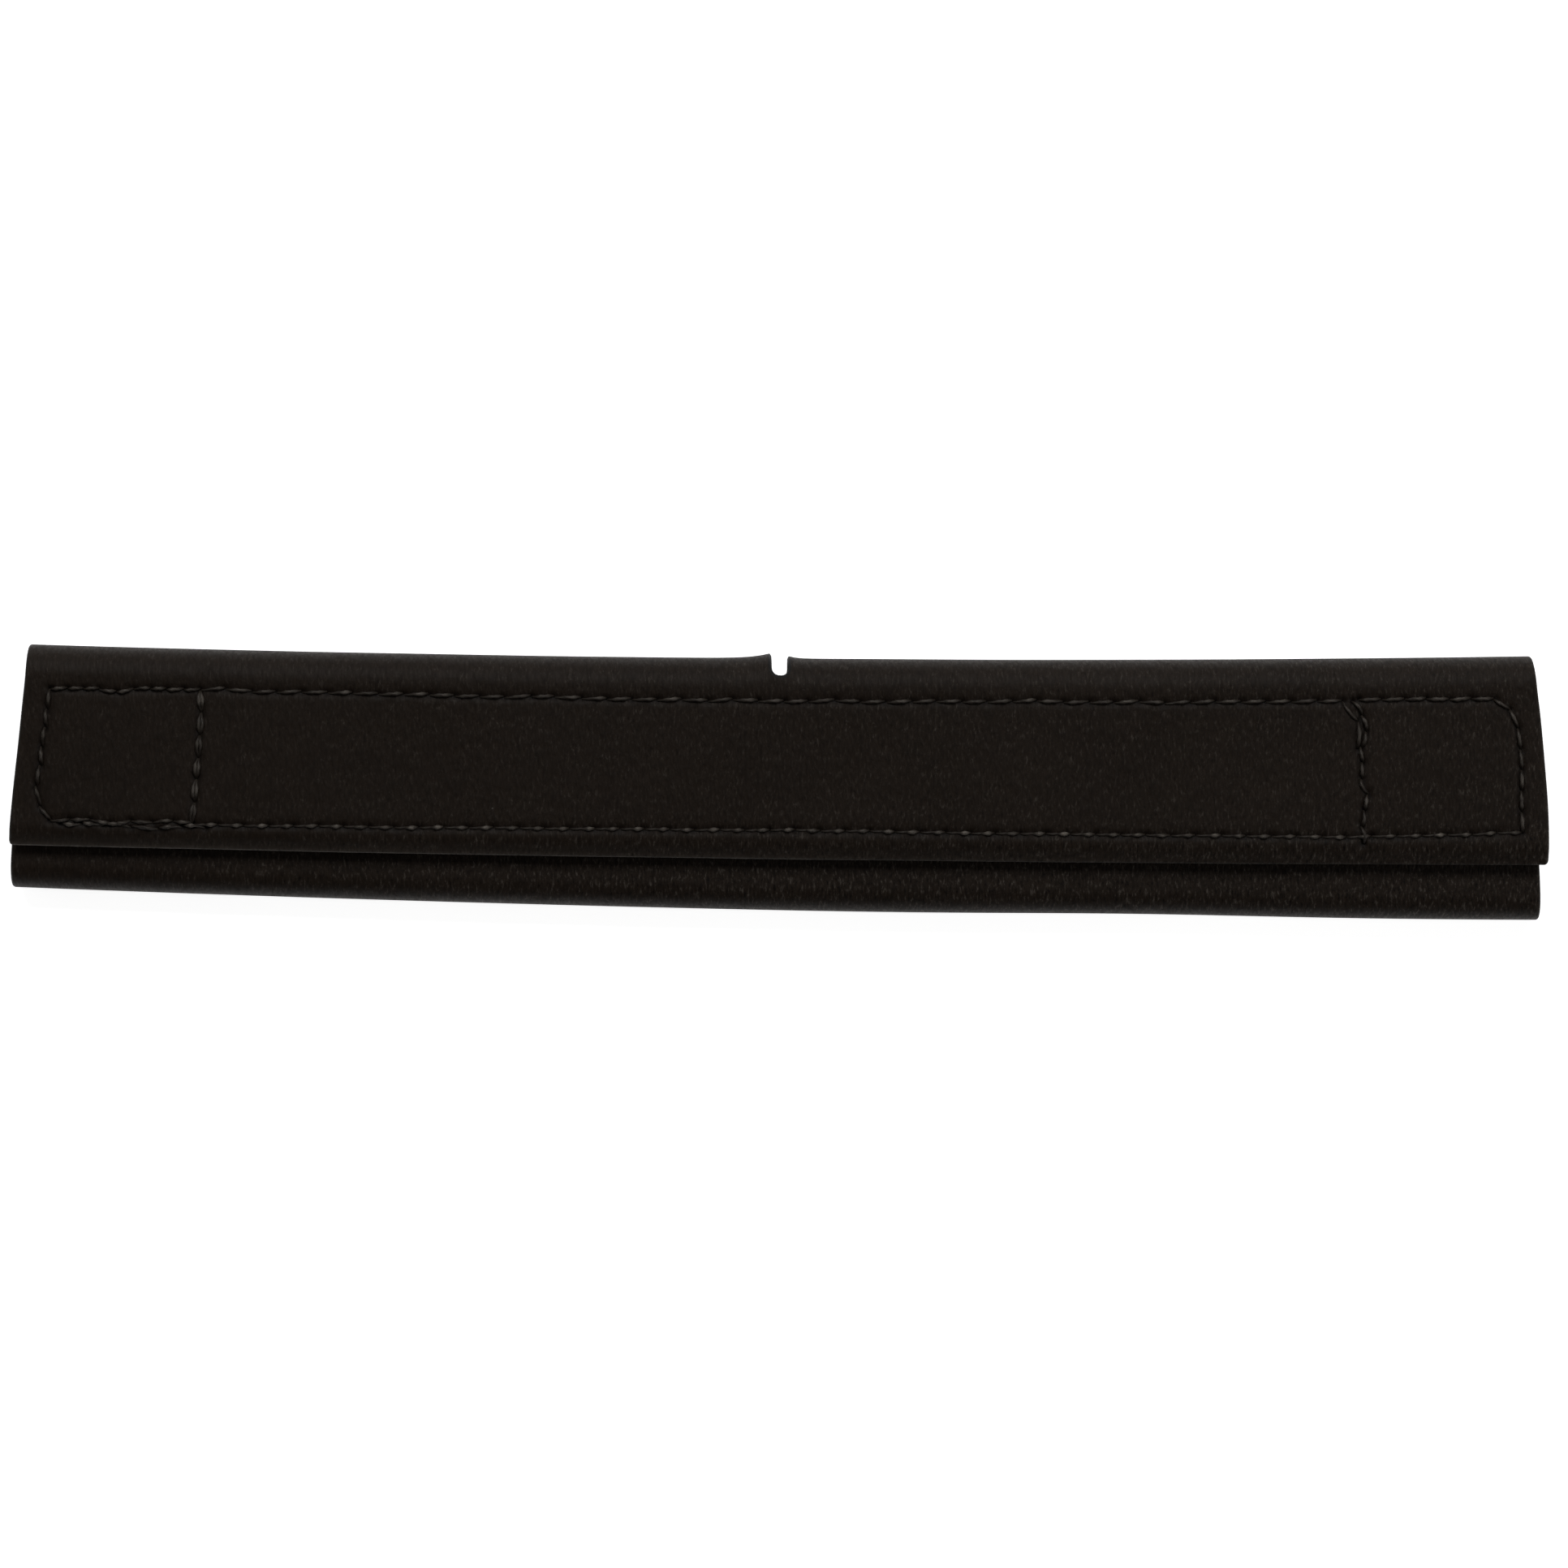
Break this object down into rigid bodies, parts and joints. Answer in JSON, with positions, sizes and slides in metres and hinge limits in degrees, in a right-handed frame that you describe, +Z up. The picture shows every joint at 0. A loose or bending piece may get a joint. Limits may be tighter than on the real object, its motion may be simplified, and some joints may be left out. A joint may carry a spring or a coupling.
{
  "type": "leather wrap sleeve",
  "caption": "Long flat leather sleeve that wraps round a bar, strap or handle, with a stitched flap over an inner lip, a hook-and-loop closure and a relief slot in the top fold.",
  "frame": {"origin": "middle of the back panel's lower face, which the sleeve rests on", "axes": "+X along the sleeve, +Y across it towards the top fold, +Z up, out of the flap"},
  "size_m": [0.2, 0.0326, 0.0104],
  "materials": {
    "leather": "satin black, fine pebble grain",
    "tape": "woven nylon, black",
    "hooks": "moulded nylon hooks, black",
    "loops": "brushed nylon loops, black",
    "thread": "bonded thread, dark grey"
  },
  "bodies": {
    "back": {"back_panel": "leather"},
    "upper_fold": {"top_fold": "leather"},
    "flap": {"flap_panel": "leather", "hook_tape": "tape", "hook_field": "hooks", "flap_upper_stitches": "thread", "flap_lower_stitches": "thread", "flap_left_end_stitches": "thread", "flap_right_end_stitches": "thread", "flap_left_cross_stitches": "thread", "flap_right_cross_stitches": "thread", "flap_long_bobbin_stitches": "thread", "flap_short_bobbin_stitches": "thread"},
    "lower_fold": {"bottom_fold": "leather"},
    "lip": {"lip_panel": "leather", "loop_tape": "tape", "loop_pile": "loops", "lip_upper_stitches": "thread", "lip_lower_stitches": "thread", "lip_left_end_stitches": "thread", "lip_right_end_stitches": "thread", "lip_bobbin_stitches": "thread"}
  },
  "joints": [
    {"name": "flap_fold_start", "type": "hinge", "parent": "back", "child": "upper_fold", "pos_m": [0, 0.01499, 0.00161], "axis": [-1, 0, 0], "range_deg": [0, 90], "deforming": ["top_fold"]},
    {"name": "flap_fold_end", "type": "hinge", "parent": "upper_fold", "child": "flap", "pos_m": [0, 0.01499, 0.00874], "axis": [-1, 0, 0], "range_deg": [0, 90]},
    {"name": "lip_fold_start", "type": "hinge", "parent": "back", "child": "lower_fold", "pos_m": [0, -0.01512, 0.00118], "axis": [1, 0, 0], "range_deg": [0, 50], "deforming": ["bottom_fold"]},
    {"name": "lip_fold_end", "type": "hinge", "parent": "lower_fold", "child": "lip", "pos_m": [0, -0.01512, 0.00582], "axis": [1, 0, 0], "range_deg": [0, 50]}
  ],
  "couplings": [
    {"joint": "flap_fold_end", "follows": "flap_fold_start", "ratio": 1},
    {"joint": "lip_fold_start", "follows": "flap_fold_start", "ratio": 0.55},
    {"joint": "lip_fold_end", "follows": "flap_fold_start", "ratio": 0.55}
  ]
}
